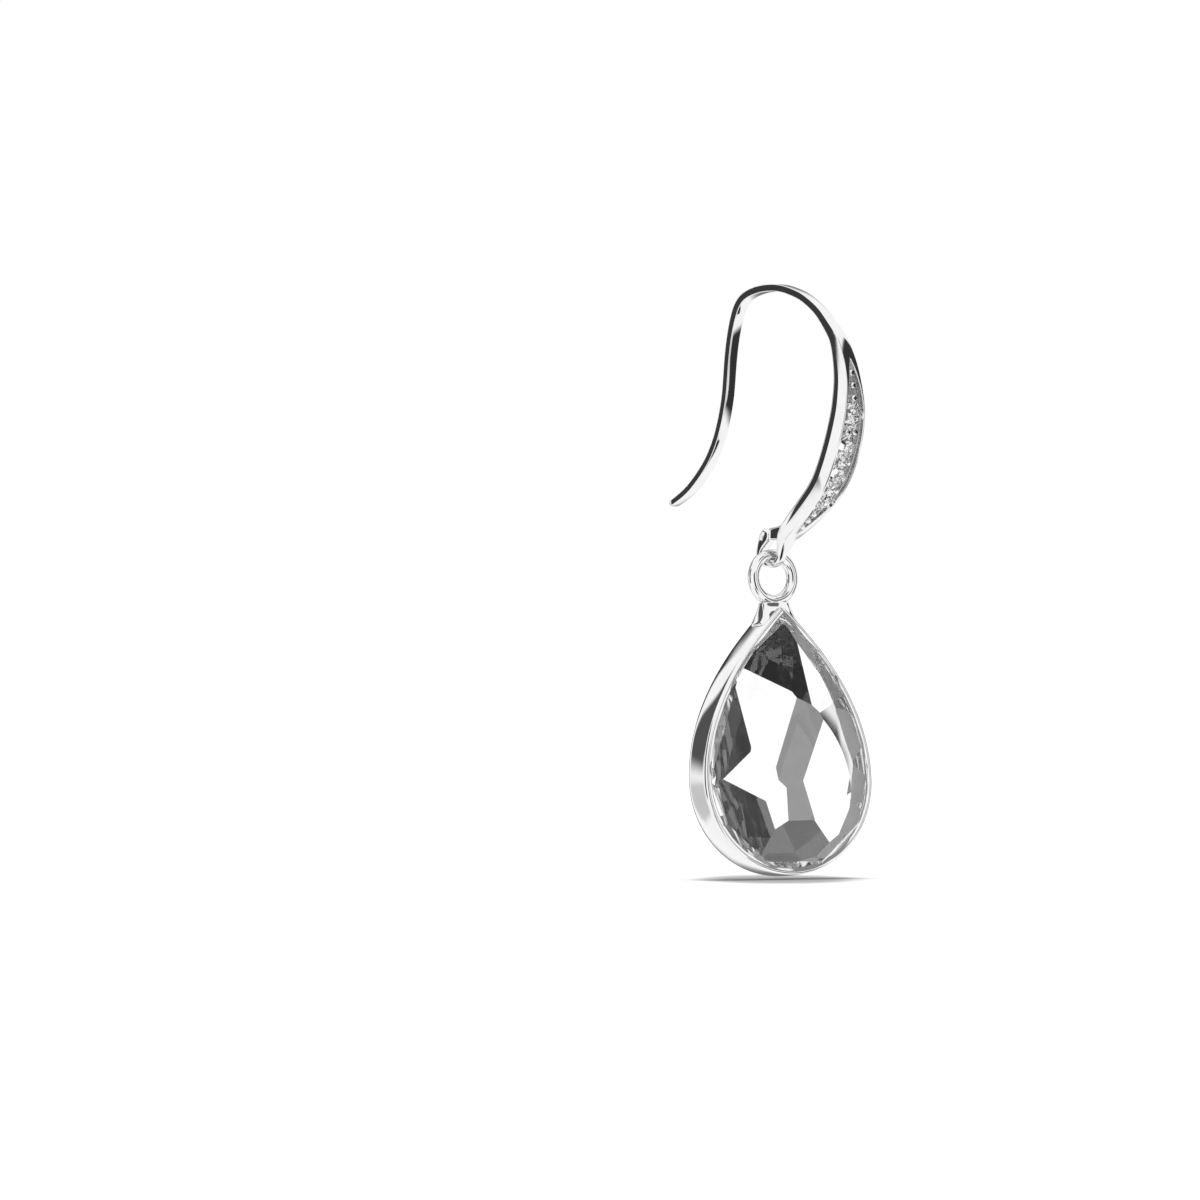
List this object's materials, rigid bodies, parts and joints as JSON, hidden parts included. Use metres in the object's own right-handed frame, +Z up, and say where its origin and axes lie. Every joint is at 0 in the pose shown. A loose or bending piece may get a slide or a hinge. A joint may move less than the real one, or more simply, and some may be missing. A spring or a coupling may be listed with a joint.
{
  "type": "teardrop earring",
  "caption": "Drop earring: a hook with a channel of small round stones, and a pear-cut crystal in a closed bezel swinging from its loop",
  "frame": {"origin": "the inner top of the hook's arch, where the earring hangs in the ear", "axes": "+Z up, -Y the front of the hook, X across the hook; the drop is turned 19 degrees about Z against the hook, as the picture shows it, and hangs 4 degrees forward of upright, with its weight under the loop"},
  "size_m": [0.0108, 0.0128, 0.0323],
  "materials": {
    "polished_silver": "mirror-polished plated silver, cast channel floor a little matt",
    "accent_crystal": "clear brilliant-cut stone",
    "foiled_crystal": "clear cut crystal with a mirror foil on its back facets"
  },
  "bodies": {
    "hook": {"ear_hook": "polished_silver", "accent_stone_1": "accent_crystal", "accent_stone_2": "accent_crystal", "accent_stone_3": "accent_crystal", "accent_stone_4": "accent_crystal"},
    "drop": {"drop_setting": "polished_silver", "teardrop_stone": "foiled_crystal"}
  },
  "joints": [
    {"name": "drop_swing", "type": "hinge", "parent": "hook", "child": "drop", "pos_m": [0, 0.00014, -0.01437], "axis": [0.9455, -0.3256, 0], "range_deg": [-65, 65]}
  ]
}
